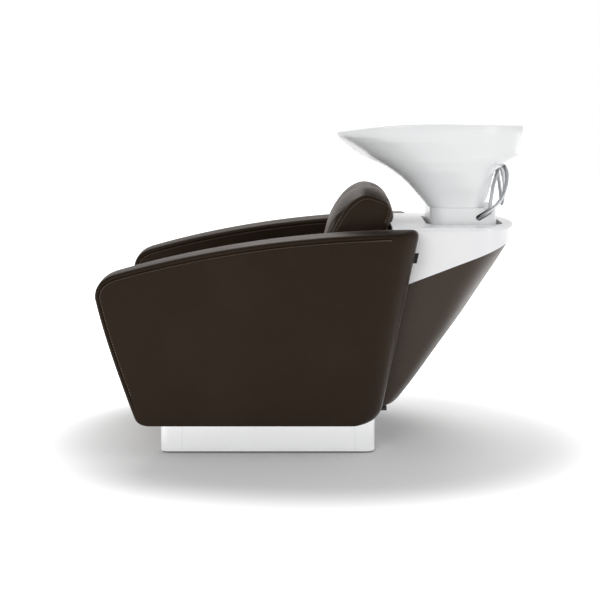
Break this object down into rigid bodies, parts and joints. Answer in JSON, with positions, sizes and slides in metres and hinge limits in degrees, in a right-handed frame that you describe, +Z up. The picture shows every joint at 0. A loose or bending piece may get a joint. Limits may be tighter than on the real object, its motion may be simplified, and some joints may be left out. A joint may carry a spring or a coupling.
{
  "type": "salon wash unit",
  "caption": "Salon wash unit: an upholstered seat between slab arms on a steel plinth, with a tilting ceramic basin on a console behind it.",
  "frame": {"origin": "floor level, centred in the footprint's length and width", "axes": "+X from the client's feet to the back of the basin, +Y to the seated client's right, +Z up"},
  "size_m": [1.288, 0.7, 0.985],
  "materials": {
    "leather": "dark brown, semi-matt, stitched",
    "tag": "blank woven tag",
    "ceramic": "white glaze",
    "console_white": "white gloss",
    "polished_steel": "polished",
    "dark_steel": "matt dark grey",
    "fixings": "zinc plated",
    "chrome": "polished",
    "brass": "plain",
    "plywood": "bare plywood",
    "rubber": "matt black",
    "white_plastic": "white",
    "hose": "hose in a braided steel sleeve",
    "red_plastic": "red",
    "blue_plastic": "blue"
  },
  "bodies": {
    "chair": {"floor_glides": "rubber", "plinth_feet": "dark_steel", "plinth_front_cap": "polished_steel", "plinth_rear_cap": "polished_steel", "plinth_left_panel": "polished_steel", "plinth_right_panel": "polished_steel", "plinth_top_plate": "dark_steel", "seat_base_board": "plywood", "left_side_rail": "plywood", "right_side_rail": "plywood", "front_rail": "plywood", "rear_rail": "plywood", "seat_deck": "plywood", "front_panel": "leather", "seat_cushion": "leather", "back_board": "plywood", "back_cushion": "leather", "left_arm_pad": "leather", "right_arm_pad": "leather", "left_arm_core": "plywood", "right_arm_core": "plywood", "arm_bolts": "fixings", "sewn_tag": "tag", "column_base_plate": "dark_steel", "column_bolts": "fixings", "support_column": "dark_steel", "left_fork_plate": "dark_steel", "right_fork_plate": "dark_steel", "tilt_bushes": "brass", "console_shell": "console_white", "console_screws": "fixings", "keel_shell": "leather", "keel_screws": "fixings", "drain_hose": "white_plastic", "waste_trap": "white_plastic", "waste_pipe": "white_plastic", "hot_hose": "hose", "cold_hose": "hose", "hot_stop_valve": "brass", "cold_stop_valve": "brass"},
    "basin": {"pivot_bolts": "fixings", "pivot_nuts": "fixings", "basin_bracket": "dark_steel", "basin_bolts": "fixings", "pillar_housing": "ceramic", "basin_bowl": "ceramic", "drain_flange": "chrome", "drain_gasket": "rubber", "drain_nut": "white_plastic", "mixer_base": "chrome", "ledge_nuts": "brass", "shower_guide": "chrome", "shower_hose": "hose"},
    "strainer": {"hair_strainer": "chrome"},
    "mixer_head": {"mixer_cap": "chrome", "lever_pin": "fixings"},
    "lever": {"mixer_lever": "chrome"},
    "shower": {"hand_shower": "chrome"},
    "hot_handle": {"hot_valve_handle": "red_plastic"},
    "cold_handle": {"cold_valve_handle": "blue_plastic"}
  },
  "joints": [
    {"name": "basin_tilt", "type": "hinge", "parent": "chair", "child": "basin", "pos_m": [0.43, 0, 0.61], "axis": [0, 1, 0], "range_deg": [-6, 8], "deforming": ["hot_hose", "cold_hose", "drain_hose"]},
    {"name": "strainer_lift", "type": "slide", "parent": "basin", "child": "strainer", "axis": [0, 0, 1], "range_m": [0, 0.03]},
    {"name": "mixer_turn", "type": "hinge", "parent": "basin", "child": "mixer_head", "pos_m": [0.562, -0.066, 0.9263], "axis": [0, 0, 1], "range_deg": [-45, 45]},
    {"name": "mixer_lift", "type": "hinge", "parent": "mixer_head", "child": "lever", "pos_m": [0.562, -0.066, 0.9486], "axis": [0, 1, 0], "range_deg": [0, 25]},
    {"name": "shower_lift", "type": "slide", "parent": "basin", "child": "shower", "axis": [0, 0, 1], "range_m": [0, 0.06], "deforming": ["shower_hose"]},
    {"name": "hot_valve_turn", "type": "hinge", "parent": "chair", "child": "hot_handle", "pos_m": [0.1624, -0.13, 0.15], "axis": [1, 0, 0], "range_deg": [0, 90]},
    {"name": "cold_valve_turn", "type": "hinge", "parent": "chair", "child": "cold_handle", "pos_m": [0.1624, -0.09, 0.15], "axis": [1, 0, 0], "range_deg": [0, 90]}
  ]
}
